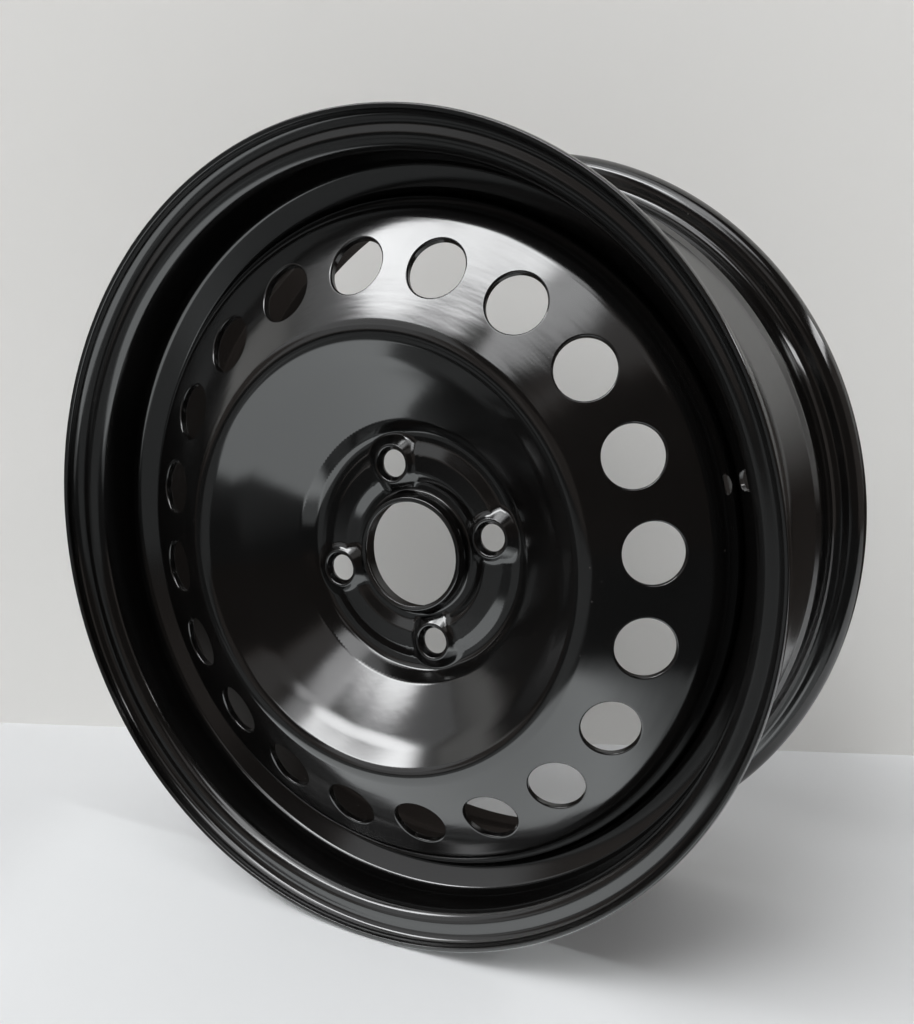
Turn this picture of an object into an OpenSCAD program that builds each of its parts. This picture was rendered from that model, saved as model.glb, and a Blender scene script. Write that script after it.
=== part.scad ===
// Pressed-steel road wheel, 17 inch, four bolts.
// The wheel turns about the Y axis. The hub's mounting face is the plane y = 0, the street side faces -Y and
// the vehicle side +Y. Lengths are in millimetres, angles in degrees from +X towards +Z.

/* [Rim] */
// Specified diameter of the bead seats
rim_d = 436.6; // [380:0.1:500]
// Width between the two flanges' tyre faces
rim_width = 165.1; // [150:0.1:200]
// Distance from the mounting face inboard to the rim's middle
wheel_offset = 40; // [25:0.5:50]
// Thickness of the rim's sheet
rim_t = 2.8; // [2:0.1:3.6]
// Height of the flange above the bead seat
flange_h = 17.5; // [16:0.1:20]
// Radius of the flange's curl on its tyre side
flange_r = 9.5; // [8:0.1:11]
// Angle that the curl passes beyond its highest line
lip_angle = 17; // [5:1:30]
// Straight end of the curl
lip_len = 0.8; // [0.4:0.1:3]
// Corner between the flange and the bead seat, tyre side
bead_corner_r = 6.5; // [4:0.1:7.5]
// Taper of the bead seat
seat_taper = 5; // [4:0.5:6]
// Width of the bead seat up to the safety hump
seat_w = 21.5; // [19.8:0.1:24]
// Height of the safety hump over the seat's line
hump_h = 1.6; // [0.6:0.1:2]
// Width of the hump's rise
hump_w = 6.5; // [5:0.1:8]
// Radius of the hump's crest
hump_r = 6; // [3:0.5:8]

/* [Drop well] */
// Depth of the well below the specified diameter, tyre side
well_depth = 17.3; // [15:0.1:20]
// Distance along Y from the front hump's crest line to the top of the front wall
front_wall_gap = 5.9; // [5:0.1:10]
// Slope of the front wall, from the wheel's axis
front_wall_angle = 60; // [50:1:70]
// Width of the well's floor
well_w = 33; // [28:0.5:45]
// Slope of the rear wall, from the wheel's axis
rear_wall_angle = 24; // [18:1:32]
// Distance along Y from the rear hump's crest line to the shallow ledge
ledge_gap = 6; // [5:0.5:12]
// Slope of the ledge, from the wheel's axis
ledge_angle = 8; // [5:0.5:12]
// Bend radius of the well's corners, on the inside of the bend
well_bend_r = 5.5; // [3:0.5:8]

/* [Valve hole] */
// Diameter of the valve hole
valve_d = 11.3; // [10:0.1:16]
// Depth of the valve hole's centre below the specified radius, in the middle of the sheet
valve_drop = 12.1; // [8.3:0.1:13.3]
// Angle of the valve hole round the wheel
valve_angle = 17.3; // [0:0.1:360]

/* [Disc] */
// Thickness of the disc's sheet
disc_t = 4; // [3:0.1:5]
// Radius of the crown's crest line
crest_at = 127.4; // [115:0.1:130]
// Height of the crest's front above the mounting face
crest_h = 49.3; // [40:0.1:52]
// Slope of the dish, from the wheel's plane
dish_angle = 43.5; // [43:0.1:46]
// Slope of the vented ring, from the wheel's plane
crown_angle = 26.5; // [20:0.5:30]
// Radius of the crest in section
crest_r = 13; // [8:0.5:20]
// Radius of the shoulder in section, where the crown turns into the disc's flange
shoulder_r = 24; // [15:0.5:28]
// Length of the disc's straight flange inside the drop well
disc_flange_w = 26; // [15:0.5:28]
// Radius between the dish and the hub pad, on the front
dish_r = 11; // [5:0.5:14]

/* [Vents] */
// Number of round vent holes
vent_count = 20; // [12:1:24]
// Diameter of a vent hole
vent_d = 33; // [20:0.5:36]
// Radius of the circle through the vent holes' centres
vent_at = 161.4; // [155:0.1:165]
// Angle of the first vent hole
vent_angle = 8.3; // [0:0.1:360]

/* [Hub pad] */
// Diameter of the centre bore
bore_d = 65.1; // [54:0.1:67]
// Height of the bore's turned lip above the mounting face
bore_lip_h = 12; // [8:0.5:14]
// Thickness of the turned lip
bore_lip_t = 3.4; // [2.5:0.1:4]
// How far the lip's end closes in beyond the bore
bore_lip_in = 1.4; // [0.2:0.1:1.6]
// Height of the raised band above the pad's front
band_h = 3; // [1:0.1:4]
// Inner and outer foot of the raised band
band_in = 41.8; // [40:0.1:44]
band_out = 65; // [62:0.1:67]
// Inner and outer edge of the band's top
band_top_in = 47.6; // [46:0.1:50]
band_top_out = 58.6; // [56:0.1:60]
// Bend radius of the band's corners
band_r = 3; // [1:0.5:5]

/* [Bolt holes] */
// Number of bolt holes
bolt_count = 4; // [3:1:5]
// Diameter of the circle through the bolt holes
bolt_pcd = 108; // [106:0.1:110]
// Diameter of a bolt hole's throat
bolt_d = 16; // [13:0.1:17]
// Angle of the first bolt hole
bolt_angle = 16.3; // [0:0.1:360]
// Height of a seat's top above the mounting face
seat_h = 9.4; // [8:0.1:10]
// Outer radius of a seat's top
seat_top_r = 11.3; // [11:0.1:12.5]
// Outer radius of a seat at its foot on the pad
seat_foot_r = 18; // [16.5:0.1:18]
// Depth of the conical seat above the throat
seat_cone_h = 3.5; // [1.5:0.1:4]
// Half the cone's angle
seat_cone_angle = 30; // [25:1:45]
// Depth of the hollow behind a seat
seat_hollow_h = 4.2; // [3:0.1:4.6]

/* [Welds] */
// Number of weld beads
weld_count = 6; // [3:1:10]
// Arc that one bead covers
weld_arc = 34; // [10:1:34]
// Leg of the fillet bead
weld_leg = 4; // [2:0.5:5]
// Angle of the first bead's middle
weld_angle = 30; // [0:1:360]

/* [Hidden] */
turn_fn = 180;
hole_fn = 48;
bend_steps = 8;
rim_colour = [0.055, 0.05, 0.05];
disc_colour = [0.06, 0.055, 0.055];
weld_colour = [0.08, 0.075, 0.07];
// Length by which a cut passes the faces that it cuts
cut = 1;

// Rim: places of the flanges' tyre faces, and radii on the tyre side
front_y = wheel_offset - rim_width / 2;
rear_y = wheel_offset + rim_width / 2;
seat_r = rim_d / 2;
flange_top = seat_r + flange_h;
well_r = seat_r - well_depth;
well_in_r = well_r - rim_t;
seat_drop = tan(seat_taper);
hump_at = seat_w + hump_w;
hump_top = seat_r - hump_at * seat_drop + hump_h;
front_wall_at = hump_at + front_wall_gap;
ledge_at = hump_at + ledge_gap;
valve_at = seat_r - valve_drop;
front_wall_r = seat_r - front_wall_at * seat_drop;
front_floor_at = front_wall_at + (front_wall_r - well_r) / tan(front_wall_angle);
rear_floor_at = rim_width - front_floor_at - well_w;
ledge_r = seat_r - ledge_at * seat_drop;
// The ledge's line and the rear wall's line cross here
rear_wall_at = (ledge_r + ledge_at * tan(ledge_angle) - well_r - rear_floor_at * tan(rear_wall_angle))
    / (tan(ledge_angle) - tan(rear_wall_angle));
rear_wall_r = ledge_r - (rear_wall_at - ledge_at) * tan(ledge_angle);
lip_slope = tan(lip_angle);
// Crossing of the lip's line and the flange face's line
lip_corner_r = flange_top - flange_r + flange_r * (cos(lip_angle) + lip_slope * (1 + sin(lip_angle)));
lip_reach = flange_r * (1 + sin(lip_angle)) + lip_len * cos(lip_angle);

// Disc: front surface, as heights above the mounting face
pad_h = disc_t;
crown_slope = tan(crown_angle);
// Crossing of the crest's tangent at its top with the two slopes beside it
crown_corner = crest_at + crest_r * tan(crown_angle / 2);
flange_corner_h = crest_h - (well_in_r - crown_corner) * crown_slope;
dish_corner = crest_at - crest_r * tan(dish_angle / 2);
dish_foot = dish_corner - (crest_h - pad_h) / tan(dish_angle);
flange_end_h = flange_corner_h - shoulder_r * tan((90 - crown_angle) / 2) - disc_flange_w;
bore_r = bore_d / 2;
bolt_at = bolt_pcd / 2;
band_top_h = pad_h + band_h;

// Unit vector along v, and v turned a quarter to the left
function unit(v) = v / norm(v);
function left(v) = [-v[1], v[0]];

// A path is a list of [x, y, bend radius]. Its sheet lies between the path and the same path shifted left by t,
// where a bend to the left has its radius reduced by t and a bend to the right has it increased.
function xy(p) = [p[0], p[1]];
function run_in(path, i) = unit(xy(path[i]) - xy(path[i - 1]));
function run_out(path, i) = unit(xy(path[i + 1]) - xy(path[i]));
function shift_corner(path, i, t) =
    let (a = left(run_in(path, i)), b = left(run_out(path, i)))
    xy(path[i]) + t * (a + b) / (1 + a * b);
function shift_bend(path, i, t) =
    let (s = sign(cross(run_in(path, i), run_out(path, i))))
    path[i][2] == 0 ? 0 : max(0.2, path[i][2] - s * t);
function shifted(path, t) =
    let (last = len(path) - 1)
    [for (i = [0 : last])
        i == 0 ? concat(xy(path[0]) + t * left(run_out(path, 0)), 0)
        : i == last ? concat(xy(path[last]) + t * left(run_in(path, last)), 0)
        : concat(shift_corner(path, i, t), shift_bend(path, i, t))];

// Points of one corner rounded with its bend radius
function bend(path, i) =
    let (u = run_in(path, i), v = run_out(path, i), r = path[i][2])
    r == 0 ? [xy(path[i])] :
    let (s = sign(cross(u, v)), turn = acos(max(-1, min(1, u * v))))
    let (start = xy(path[i]) - u * r * tan(turn / 2), middle = start + s * r * left(u))
    [for (k = [0 : bend_steps])
        let (a = turn * k / bend_steps)
        middle + r * (sin(a) * u - s * cos(a) * left(u))];
function rounded(path) =
    let (last = len(path) - 1)
    concat([xy(path[0])], [for (i = [1 : last - 1]) each bend(path, i)], [xy(path[last])]);
function reversed(pts) = [for (i = [len(pts) - 1 : -1 : 0]) pts[i]];
function sheet(path, t) = concat(rounded(path), reversed(rounded(shifted(path, t))));

// Turns an outline of [radius, place along Y] round the Y axis
module turned(outline) {
    rotate([-90, 0, 0])
        rotate_extrude($fn = turn_fn)
            polygon(outline);
}

// Puts its children at a radius and an angle round the wheel, with their own +X pointing outwards
module round_the_axis(radius, angle) {
    rotate([0, -angle, 0])
        translate([radius, 0, 0])
            children();
}

// A round bar along Y from y0 to y1, with radii r0 and r1 at its ends
module bar(y0, y1, r0, r1) {
    translate([0, y0, 0])
        rotate([-90, 0, 0])
            cylinder(h = y1 - y0, r1 = r0, r2 = r1, $fn = hole_fn);
}

// Tyre side of the rim's section, from the front lip to the rear lip, as [radius, y, bend radius]
function rim_path() = [
    [lip_corner_r - lip_reach * lip_slope, front_y - lip_reach, 0],
    [lip_corner_r, front_y, flange_r],
    [seat_r, front_y, bead_corner_r],
    [seat_r - seat_w * seat_drop, front_y + seat_w, hump_r],
    [hump_top, front_y + hump_at, hump_r],
    [front_wall_r, front_y + front_wall_at, well_bend_r + rim_t],
    [well_r, front_y + front_floor_at, well_bend_r],
    [well_r, rear_y - rear_floor_at, well_bend_r * 3],
    [rear_wall_r, rear_y - rear_wall_at, well_bend_r * 3],
    [ledge_r, rear_y - ledge_at, hump_r],
    [hump_top, rear_y - hump_at, hump_r],
    [seat_r - seat_w * seat_drop, rear_y - seat_w, hump_r],
    [seat_r, rear_y, bead_corner_r],
    [lip_corner_r, rear_y, flange_r],
    [lip_corner_r - lip_reach * lip_slope, rear_y + lip_reach, 0],
];

// Front of the disc's section, from the pad's inner ring to the end of the flange, as [radius, y, bend radius]
function disc_path() = [
    [bore_r + bore_lip_t, -pad_h, 0],
    [band_in, -pad_h, band_r],
    [band_top_in, -band_top_h, band_r],
    [band_top_out, -band_top_h, band_r],
    [band_out, -pad_h, band_r],
    [dish_foot, -pad_h, dish_r],
    [dish_corner, -crest_h, crest_r],
    [crown_corner, -crest_h, crest_r],
    [well_in_r, -flange_corner_h, shoulder_r],
    [well_in_r, -flange_end_h, 0],
];

// Turned lip of the centre bore, from the mounting face to its rounded end
function bore_outline() = [
    [bore_r, 0],
    [bore_r, -bore_lip_h * 0.6],
    [bore_r - bore_lip_in, -bore_lip_h + 1.4],
    [bore_r - bore_lip_in + 0.6, -bore_lip_h + 0.4],
    [bore_r - bore_lip_in + 1.6, -bore_lip_h],
    [bore_r - bore_lip_in + 2.8, -bore_lip_h + 0.5],
    [bore_r + bore_lip_t - 0.7, -bore_lip_h + 2],
    [bore_r + bore_lip_t, -bore_lip_h * 0.6],
    [bore_r + bore_lip_t, -pad_h - 2],
    [bore_r + bore_lip_t + 0.7, -pad_h - 0.7],
    [bore_r + bore_lip_t + 2, -pad_h],
    [bore_r + bore_lip_t + 2, 0],
];

module rim() {
    color(rim_colour)
        difference() {
            turned(sheet(rim_path(), rim_t));
            valve_hole();
        }
}

// The hole goes square through the front wall of the drop well
module valve_hole() {
    wall_y = front_y + front_wall_at + (front_wall_r - valve_at) / tan(front_wall_angle)
        - rim_t / sin(front_wall_angle) / 2;
    round_the_axis(valve_at, valve_angle)
        translate([0, wall_y, 0])
            rotate([0, 0, front_wall_angle - 90])
                bar(-4 * rim_t, 4 * rim_t, valve_d / 2, valve_d / 2);
}

module disc() {
    color(disc_colour)
        difference() {
            union() {
                turned(sheet(disc_path(), disc_t));
                turned(bore_outline());
                each_bolt() seat_body();
            }
            each_bolt() seat_cuts();
            each_vent() vent_cut();
        }
}

module each_bolt() {
    for (i = [0 : bolt_count - 1])
        round_the_axis(bolt_at, bolt_angle + 360 * i / bolt_count)
            children();
}

module each_vent() {
    for (i = [0 : vent_count - 1])
        round_the_axis(vent_at, vent_angle + 360 * i / vent_count)
            children();
}

// Raised seat for one bolt, solid down to the pad's back
module seat_body() {
    bar(-seat_h, -pad_h, seat_top_r, seat_foot_r);
    bar(-pad_h, 0, seat_foot_r, seat_foot_r);
}

// Hollow behind the seat, its throat and its cone
module seat_cuts() {
    throat_top = seat_h - seat_cone_h;
    hollow_foot_r = seat_foot_r - 2.5;
    bar(-seat_hollow_h, 0, seat_top_r - 1, hollow_foot_r);
    bar(0, cut, hollow_foot_r, hollow_foot_r);
    bar(-seat_h - cut, cut, bolt_d / 2, bolt_d / 2);
    bar(-seat_h - cut, -throat_top, bolt_d / 2 + (seat_cone_h + cut) * tan(seat_cone_angle), bolt_d / 2);
}

module vent_cut() {
    crown_mid_h = crest_h - (vent_at - crown_corner) * crown_slope - disc_t / 2;
    translate([0, -crown_mid_h, 0])
        rotate([0, 0, crown_angle])
            bar(-4 * disc_t, 4 * disc_t, vent_d / 2, vent_d / 2);
}

// Fillet beads between the end of the disc's flange and the floor of the drop well
module weld_beads() {
    foot = -flange_end_h;
    color(weld_colour)
        for (i = [0 : weld_count - 1])
            rotate([0, -(weld_angle + 360 * i / weld_count - weld_arc / 2), 0])
                rotate([90, 0, 0])
                    mirror([0, 0, 1])
                        rotate_extrude(angle = weld_arc, $fn = turn_fn)
                            polygon([
                                [well_in_r, foot],
                                [well_in_r - weld_leg, foot],
                                [well_in_r - weld_leg * 0.55, foot + weld_leg * 0.7],
                                [well_in_r, foot + weld_leg],
                            ]);
}

rim();
disc();
weld_beads();
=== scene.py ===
"""Steel wheel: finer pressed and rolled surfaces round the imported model, gloss black paint, pale studio."""
import bpy
import math
from collections import namedtuple

import numpy as np
from mathutils import Matrix, Vector, geometry


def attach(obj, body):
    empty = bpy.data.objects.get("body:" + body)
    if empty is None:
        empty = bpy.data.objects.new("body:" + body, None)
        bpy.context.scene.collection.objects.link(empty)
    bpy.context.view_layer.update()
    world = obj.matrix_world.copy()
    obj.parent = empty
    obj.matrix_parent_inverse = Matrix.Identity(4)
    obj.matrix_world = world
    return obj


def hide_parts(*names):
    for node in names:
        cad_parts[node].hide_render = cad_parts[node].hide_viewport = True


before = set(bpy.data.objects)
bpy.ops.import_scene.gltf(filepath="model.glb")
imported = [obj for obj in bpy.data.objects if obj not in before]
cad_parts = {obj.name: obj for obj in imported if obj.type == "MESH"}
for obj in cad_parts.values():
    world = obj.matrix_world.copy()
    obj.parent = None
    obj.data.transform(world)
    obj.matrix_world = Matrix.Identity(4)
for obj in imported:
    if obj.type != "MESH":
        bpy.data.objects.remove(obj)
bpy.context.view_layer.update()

MM = 0.001
COLS = 240            # columns round the wheel
COL0 = 17.3           # angle of column 0, half-way between two vents and through the valve hole
MERGE = 2000          # points closer than 1/2000 mm become one vertex
HALVINGS = 46         # steps of a search by halving
NEWTON_STEPS = 12


def tand(a):
    return math.tan(math.radians(a))


def sind(a):
    return math.sin(math.radians(a))


def cosd(a):
    return math.cos(math.radians(a))


# Sections of the pressed and rolled sheet
# A stretch is a line from origin, or an arc round origin that bends to its left (1) or right (-1)
Stretch = namedtuple("Stretch", "start end origin along radius bend")


class Section:
    """Lines and arcs in the plane (radius, y), in mm, sampled with exact tangents."""

    def __init__(self, path):
        pts = [np.array(p[:2], float) for p in path]
        radii = [p[2] for p in path]
        self.stretches = []
        self.corner = {}
        s = 0.0
        prev = pts[0]
        for i in range(1, len(pts) - 1):
            u = pts[i] - pts[i - 1]
            u /= np.linalg.norm(u)
            v = pts[i + 1] - pts[i]
            v /= np.linalg.norm(v)
            turn = math.acos(max(-1.0, min(1.0, float(u @ v))))
            r = radii[i]
            if r <= 0 or turn < 1e-6:
                length = float(np.linalg.norm(pts[i] - prev))
                self.stretches.append(Stretch(s, s + length, prev, u, 0, 0))
                s += length
                prev = pts[i]
                self.corner[i] = (s, s)
                continue
            bend = 1.0 if u[0] * v[1] - u[1] * v[0] > 0 else -1.0
            d = r * math.tan(turn / 2)
            a = pts[i] - u * d
            length = max(float((a - prev) @ u), 0.0)
            self.stretches.append(Stretch(s, s + length, prev, u, 0, 0))
            s += length
            left = np.array([-u[1], u[0]])
            self.stretches.append(Stretch(s, s + r * turn, a + bend * r * left, u, r, bend))
            self.corner[i] = (s, s + r * turn)
            s += r * turn
            prev = pts[i] + v * d
        u = pts[-1] - prev
        length = float(np.linalg.norm(u))
        self.stretches.append(Stretch(s, s + length, prev, u / length, 0, 0))
        self.length = s + length

    def at(self, s):
        """Points and unit tangents at the lengths s."""
        s = np.atleast_1d(np.asarray(s, float))
        p = np.zeros((len(s), 2))
        t = np.zeros((len(s), 2))
        for g in self.stretches:
            here = (s >= g.start - 1e-9) & (s <= g.end + 1e-9)
            if g is self.stretches[0]:
                here |= s < g.start
            if g is self.stretches[-1]:
                here |= s > g.end
            if not here.any():
                continue
            d = s[here] - g.start
            if g.radius == 0:
                p[here] = g.origin + d[:, None] * g.along
                t[here] = g.along
            else:
                a = d / g.radius
                left = np.array([-g.along[1], g.along[0]])
                outward = np.sin(a)[:, None] * g.along - g.bend * np.cos(a)[:, None] * left
                p[here] = g.origin + g.radius * outward
                t[here] = np.cos(a)[:, None] * g.along + g.bend * np.sin(a)[:, None] * left
        return p, t

    def normal(self, s, side):
        """Points at the lengths s and unit normals on the side."""
        p, t = self.at(s)
        return p, np.stack([-t[:, 1], t[:, 0]], 1) * side

    def samples(self, s0=0.0, s1=None, step=7.0, longest=1e9):
        """Lengths from s0 to s1, at most longest apart on lines and step degrees on arcs."""
        s1 = self.length if s1 is None else s1
        out = [s0]
        for g in self.stretches:
            a, b = max(g.start, s0), min(g.end, s1)
            if b - a < 1e-6:
                continue
            n = max(1, math.ceil((b - a) / longest))
            if g.radius:
                n = max(1, math.ceil(math.degrees((b - a) / g.radius) / step))
            out += [a + (b - a) * (k + 1) / n for k in range(n)]
        return np.array(out)

    def at_radius(self, r):
        """Length at which a stretch with a growing radius passes r."""
        r = np.atleast_1d(np.asarray(r, float))
        lo = np.zeros(len(r))
        hi = np.full(len(r), self.length)
        for _ in range(HALVINGS):
            mid = (lo + hi) / 2
            low = self.at(mid)[0][:, 0] < r
            lo = np.where(low, mid, lo)
            hi = np.where(low, hi, mid)
        return (lo + hi) / 2

    def nearest(self, point, s0, s1, tries):
        """Length between s0 and s1 at which the section comes nearest to point."""
        s = np.linspace(s0, s1, tries)
        return float(s[np.argmin(np.linalg.norm(self.at(s)[0] - point, axis=1))])


def shifted(path, t):
    """The same path moved to its left by t, with its bends kept concentric."""
    pts = [np.array(p[:2], float) for p in path]
    n = len(pts)
    d = [(pts[i + 1] - pts[i]) / np.linalg.norm(pts[i + 1] - pts[i]) for i in range(n - 1)]
    lf = [np.array([-v[1], v[0]]) for v in d]
    out = [(*(pts[0] + t * lf[0]), 0)]
    for i in range(1, n - 1):
        a, b = lf[i - 1], lf[i]
        q = pts[i] + t * (a + b) / (1 + a @ b)
        cr = d[i - 1][0] * d[i][1] - d[i - 1][1] * d[i][0]
        r = path[i][2]
        out.append((*q, 0 if r == 0 else max(0.2, r - math.copysign(t, cr))))
    out.append((*(pts[-1] + t * lf[-1]), 0))
    return out


# Meshes from patches with exact normals
class Skin:
    """Collects patches of vertices with their own normals, welds them and makes one smooth mesh."""

    def __init__(self):
        self.v, self.n, self.f, self.count = [], [], [], 0

    def add(self, v, n, faces):
        v = np.asarray(v, float)
        n = np.asarray(n, float)
        n = n / np.maximum(np.linalg.norm(n, axis=1, keepdims=True), 1e-12)
        out = []
        for f in faces:
            p = v[list(f)]
            g = np.cross(p[1] - p[0], p[2] - p[0])
            if len(f) == 4:
                g = np.cross(p[2] - p[0], p[3] - p[1])
            if g @ n[list(f)].mean(0) < 0:
                f = f[::-1]
            out.append(tuple(i + self.count for i in f))
        self.v.append(v)
        self.n.append(n)
        self.f += out
        self.count += len(v)

    def grid(self, v, n, rows, cols, wrap=False, skip=None):
        """v and n hold rows x cols points."""
        faces = []
        for i in range(rows - 1):
            for j in range(cols if wrap else cols - 1):
                if skip and skip(i, j):
                    continue
                k = (j + 1) % cols
                faces.append((i * cols + j, i * cols + k, (i + 1) * cols + k, (i + 1) * cols + j))
        self.add(v, n, faces)

    def make(self, name):
        v = np.vstack(self.v)
        n = np.vstack(self.n)
        key = np.round(v * MERGE).astype(np.int64)
        _, first, inv = np.unique(key, axis=0, return_index=True, return_inverse=True)
        inv = inv.reshape(-1)
        faces, loop_n = [], []
        for f in self.f:
            g, keep = [], []
            for i in f:
                if not g or (inv[i] != g[-1]):
                    g.append(int(inv[i]))
                    keep.append(i)
            if len(g) > 1 and g[0] == g[-1]:
                g.pop()
                keep.pop()
            if len(set(g)) < 3 or len(set(g)) != len(g):
                continue
            faces.append(g)
            loop_n += [n[i] for i in keep]
        me = bpy.data.meshes.new(name)
        me.from_pydata((v[first] * MM).tolist(), [], faces)
        me.polygons.foreach_set("use_smooth", [True] * len(faces))
        me.normals_split_custom_set([tuple(x) for x in loop_n])
        me.update()
        ob = bpy.data.objects.new(name, me)
        bpy.context.scene.collection.objects.link(ob)
        return ob


def angles():
    return np.radians(COL0 + 360.0 / COLS * np.arange(COLS))


def spin(p, nrm, th):
    """Points (radius, y) and normals turned to the angles th: rows x cols."""
    c, s = np.cos(th), np.sin(th)
    same = np.ones_like(c)
    v = np.stack([np.outer(p[:, 0], c), np.outer(p[:, 1], same), np.outer(p[:, 0], s)], 2)
    n = np.stack([np.outer(nrm[:, 0], c), np.outer(nrm[:, 1], same), np.outer(nrm[:, 0], s)], 2)
    return v.reshape(-1, 3), n.reshape(-1, 3)


def lathe(skin, sec, side, s, skip=None):
    """The whole surface of revolution at the lengths s."""
    v, n = spin(*sec.normal(s, side), angles())
    skin.grid(v, n, len(s), COLS, wrap=True, skip=skip)


def on_surface(sec, side, s, th):
    """Points and normals of the surface of revolution at the lengths s and angles th."""
    p, t = sec.at(s)
    c, q = np.cos(th), np.sin(th)
    v = np.stack([p[:, 0] * c, p[:, 1], p[:, 0] * q], 1)
    n = np.stack([-t[:, 1] * c, t[:, 0], -t[:, 1] * q], 1) * side
    return v, n


def drop(sec, side, origin, e1, e2, a, b, s_guess, th_guess):
    """Lengths and angles where lines through origin + a e1 + b e2, square to e1 and e2, meet the surface."""
    s = np.array(s_guess, float)
    th = np.array(th_guess, float)
    h, k = 1e-3, 1e-5
    for _ in range(NEWTON_STEPS):
        v = on_surface(sec, side, s, th)[0]
        fa = (v - origin) @ e1 - a
        fb = (v - origin) @ e2 - b
        vs = on_surface(sec, side, s + h, th)[0]
        vt = on_surface(sec, side, s, th + k)[0]
        j11 = (vs - v) @ e1 / h
        j12 = (vt - v) @ e1 / k
        j21 = (vs - v) @ e2 / h
        j22 = (vt - v) @ e2 / k
        det = j11 * j22 - j12 * j21
        s = s - (fa * j22 - fb * j12) / det
        th = th - (fb * j11 - fa * j21) / det
    return s, th


def within(c, loop):
    """True for each point of c inside the closed chain loop."""
    c = np.asarray(c, float)
    loop = np.asarray(loop, float)
    inside = np.zeros(len(c), bool)
    for p, q in zip(loop, np.roll(loop, -1, axis=0)):
        cross = (p[1] > c[:, 1]) != (q[1] > c[:, 1])
        if abs(q[1] - p[1]) > 1e-12:
            inside ^= cross & (c[:, 0] < (q[0] - p[0]) * (c[:, 1] - p[1]) / (q[1] - p[1]) + p[0])
    return inside


def triangulate(points, loops):
    """Constrained triangles of flat points. loops: chains of indexes, the outline first, then the holes."""
    edges = []
    for loop in loops:
        edges += [(loop[k], loop[(k + 1) % len(loop)]) for k in range(len(loop))]
    found = geometry.delaunay_2d_cdt([Vector(p) for p in points], edges, [], 0, 1e-7)
    found_faces, found_from = found[2], found[3]
    back = [o[0] if o else -1 for o in found_from]
    faces = [tuple(back[i] for i in f) for f in found_faces]
    faces = [f for f in faces if min(f) >= 0]
    pts = np.array([list(p) for p in points])
    mid = np.array([pts[list(f)].mean(0) for f in faces])
    keep = within(mid, pts[loops[0]])
    for loop in loops[1:]:
        keep &= ~within(mid, pts[loop])
    return [f for f, k in zip(faces, keep) if k]


Hole = namedtuple("Hole", "centre e1 e2 phi ring")


def window(skin, sec, side, s_side, th_side, centre, axis, rings, ring_n, fill, clear):
    """A patch of the surface between the rows s_side and columns th_side, with one round hole along axis.

    rings: radii round the hole at which the surface gets a ring of ring_n points, the hole's edge first.
    fill: rows and columns of further points, which keep clear of the hole's centre.
    Returns the hole's centre and own directions, and the points and normals of its edge.
    """
    cs, ct = centre
    o = on_surface(sec, side, np.array([cs]), np.array([ct]))[0][0]
    e2 = np.array([-math.sin(ct), 0.0, math.cos(ct)])
    e1 = np.cross(e2, axis)
    e1 /= np.linalg.norm(e1)
    ahead = on_surface(sec, side, np.array([cs + 1e-3]), np.array([ct]))[0][0] - o
    if ahead @ e1 < 0:
        e1 = -e1
    r0 = math.hypot(o[0], o[2])
    pts = [(s_side[0], t) for t in th_side[:-1]] + [(s, th_side[-1]) for s in s_side[:-1]]
    pts += [(s_side[-1], t) for t in th_side[::-1][:-1]] + [(s, th_side[0]) for s in s_side[::-1][:-1]]
    loops = [list(range(len(pts))), list(range(len(pts), len(pts) + ring_n))]
    phi = np.linspace(0, 2 * math.pi, ring_n, endpoint=False)
    edge = None
    for rho in rings:
        a, b = rho * np.cos(phi), rho * np.sin(phi)
        s, th = drop(sec, side, o, e1, e2, a, b, cs + a, ct + b / r0)
        if edge is None:
            edge = on_surface(sec, side, s, th)
        pts += list(zip(s, th))
    for s in fill[0]:
        pts += [(s, t) for t in fill[1] if math.hypot(s - cs, (t - ct) * r0) > clear]
    faces = triangulate([(p[0], p[1] * r0) for p in pts], loops)
    arr = np.array(pts)
    v, n = on_surface(sec, side, arr[:, 0], arr[:, 1])
    skin.add(v, n, faces)
    return Hole(o, e1, e2, phi, edge)


def in_order(ring, hole):
    """Another ring's points and normals in the order of the hole's own directions."""
    v, n = ring
    turn = np.mod(np.arctan2((v - hole.centre) @ hole.e2, (v - hole.centre) @ hole.e1), 2 * math.pi)
    order = np.argsort(np.mod(turn + 1e-6, 2 * math.pi))
    return v[order], n[order]


def hole_wall(skin, axis_out, hole, front, back, roll_front, roll_back):
    """Joins the smallest rings of the two faces through the sheet, with a rolled edge at each face."""
    er = np.outer(np.cos(hole.phi), hole.e1) + np.outer(np.sin(hole.phi), hole.e2)
    halves = []
    for (v, n), roll, out in ((front, roll_front, axis_out), (back, roll_back, -axis_out)):
        steps = 5 if roll > 0.4 else 3
        turns = [math.radians(90.0 * k / steps) for k in range(steps + 1)]
        halves.append(([v - er * (roll * math.sin(a)) - out * (roll * (1 - math.cos(a))) for a in turns],
                       [n * math.cos(a) - er * math.sin(a) for a in turns]))
    rows_v = halves[0][0] + halves[1][0][::-1]
    rows_n = halves[0][1] + halves[1][1][::-1]
    skin.grid(np.vstack(rows_v), np.vstack(rows_n), len(rows_v), len(hole.phi), wrap=True)


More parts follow.
